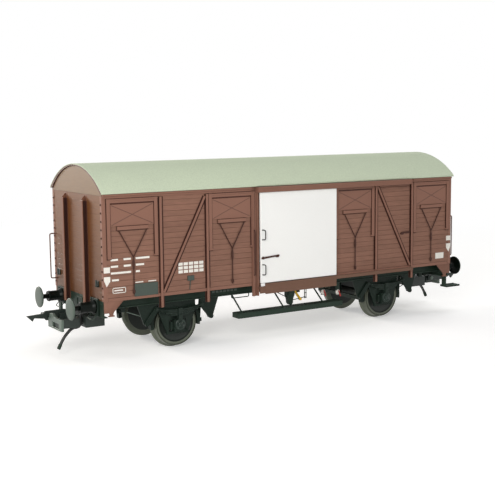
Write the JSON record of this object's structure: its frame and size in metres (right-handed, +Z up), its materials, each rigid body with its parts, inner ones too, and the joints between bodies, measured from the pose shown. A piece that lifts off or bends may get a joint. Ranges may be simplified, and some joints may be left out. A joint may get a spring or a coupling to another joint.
{
  "type": "model covered goods wagon",
  "caption": "Two-axle covered goods wagon, a gauge 0 model with sliding doors, arched roof, sprung buffers, hook couplers and free-turning wheelsets.",
  "frame": {"origin": "middle of the wagon on the plane that the wheel flanges stand on", "axes": "+X along the wagon, +Y across it to the far side, +Z up"},
  "size_m": [0.2558, 0.0666, 0.0891],
  "materials": {
    "brown_body": "satin paint, faintly grained",
    "pale_roof": "matt paint, fine sand grain",
    "pale_door": "satin pale paint",
    "deck": "matt, moulded planks",
    "black_frame": "satin moulded plastic",
    "hose_rubber": "matt",
    "steel": "darkened",
    "wheel_metal": "blackened, bright tread",
    "brass": "turned",
    "yellow_lever": "gloss paint"
  },
  "bodies": {
    "wagon": {"side_wall_near_left": "brown_body", "side_wall_near_right": "brown_body", "side_wall_far_left": "brown_body", "side_wall_far_right": "brown_body", "end_wall_left": "brown_body", "end_wall_right": "brown_body", "door_top_rail_near": "brown_body", "door_top_rail_far": "brown_body", "door_sill_near": "brown_body", "door_sill_far": "brown_body", "roof": "pale_roof", "floor_deck": "deck", "headstock_left": "black_frame", "headstock_right": "black_frame", "solebar_near": "black_frame", "solebar_far": "black_frame", "step_board": "black_frame", "end_handrail_left": "black_frame", "end_handrail_right": "black_frame", "axle_guard_near_left": "black_frame", "axle_guard_near_right": "black_frame", "axle_guard_far_left": "black_frame", "axle_guard_far_right": "black_frame", "buffer_housing_near_left": "black_frame", "buffer_housing_near_right": "black_frame", "buffer_housing_far_left": "black_frame", "buffer_housing_far_right": "black_frame", "coupler_pocket_left": "black_frame", "coupler_pocket_right": "black_frame", "brake_gear": "black_frame", "brake_cylinder": "black_frame", "air_reservoir": "black_frame", "brake_hose_left": "hose_rubber", "brake_hose_right": "hose_rubber", "ballast_plate": "steel", "buffer_spring_near_left": "steel", "buffer_spring_near_right": "steel", "buffer_spring_far_left": "steel", "buffer_spring_far_right": "steel", "axle_bearing_near_left": "brass", "axle_bearing_near_right": "brass", "axle_bearing_far_left": "brass", "axle_bearing_far_right": "brass", "change_lever": "yellow_lever"},
    "wheelset_left": {"axle_left": "steel", "wheel_near_left": "wheel_metal", "wheel_far_left": "wheel_metal"},
    "wheelset_right": {"axle_right": "steel", "wheel_near_right": "wheel_metal", "wheel_far_right": "wheel_metal"},
    "door_near": {"door_near": "pale_door"},
    "door_far": {"door_far": "pale_door"},
    "coupler_left": {"drawbar_left": "black_frame"},
    "coupler_right": {"drawbar_right": "black_frame"},
    "hook_left": {"coupler_hook_left": "black_frame"},
    "hook_right": {"coupler_hook_right": "black_frame"},
    "buffer_near_left": {"buffer_plunger_near_left": "steel"},
    "buffer_near_right": {"buffer_plunger_near_right": "steel"},
    "buffer_far_left": {"buffer_plunger_far_left": "steel"},
    "buffer_far_right": {"buffer_plunger_far_right": "steel"}
  },
  "joints": [
    {"name": "wheelset_left_spin", "type": "hinge", "parent": "wagon", "child": "wheelset_left", "pos_m": [-0.06335, 0, 0.01219], "axis": [0, 1, 0], "continuous": true},
    {"name": "wheelset_right_spin", "type": "hinge", "parent": "wagon", "child": "wheelset_right", "pos_m": [0.06335, 0, 0.01219], "axis": [0, 1, 0], "continuous": true},
    {"name": "buffer_near_left_push", "type": "slide", "parent": "wagon", "child": "buffer_near_left", "axis": [1, 0, 0], "range_m": [0, 0.0025], "stiffness_N_per_m": 120, "springref_m": -0.0004, "deforming": ["buffer_spring_near_left"]},
    {"name": "buffer_far_left_push", "type": "slide", "parent": "wagon", "child": "buffer_far_left", "axis": [1, 0, 0], "range_m": [0, 0.0025], "stiffness_N_per_m": 120, "springref_m": -0.0004, "deforming": ["buffer_spring_far_left"]},
    {"name": "buffer_near_right_push", "type": "slide", "parent": "wagon", "child": "buffer_near_right", "axis": [-1, 0, 0], "range_m": [0, 0.0025], "stiffness_N_per_m": 120, "springref_m": -0.0004, "deforming": ["buffer_spring_near_right"]},
    {"name": "buffer_far_right_push", "type": "slide", "parent": "wagon", "child": "buffer_far_right", "axis": [-1, 0, 0], "range_m": [0, 0.0025], "stiffness_N_per_m": 120, "springref_m": -0.0004, "deforming": ["buffer_spring_far_right"]},
    {"name": "door_near_slide", "type": "slide", "parent": "wagon", "child": "door_near", "axis": [1, 0, 0], "range_m": [0, 0.048]},
    {"name": "door_far_slide", "type": "slide", "parent": "wagon", "child": "door_far", "axis": [-1, 0, 0], "range_m": [0, 0.048]},
    {"name": "coupler_left_swing", "type": "hinge", "parent": "wagon", "child": "coupler_left", "pos_m": [-0.1005, 0, 0.0154], "axis": [0, 0, 1], "range_deg": [-10, 10], "stiffness_Nm_per_rad": 0.004},
    {"name": "hook_left_lift", "type": "hinge", "parent": "coupler_left", "child": "hook_left", "pos_m": [-0.1095, 0.0083, 0.0167], "axis": [0, 1, 0], "range_deg": [0, 15]},
    {"name": "coupler_right_swing", "type": "hinge", "parent": "wagon", "child": "coupler_right", "pos_m": [0.1005, 0, 0.0154], "axis": [0, 0, 1], "range_deg": [-10, 10], "stiffness_Nm_per_rad": 0.004},
    {"name": "hook_right_lift", "type": "hinge", "parent": "coupler_right", "child": "hook_right", "pos_m": [0.1095, -0.0083, 0.0167], "axis": [0, -1, 0], "range_deg": [0, 15]}
  ]
}
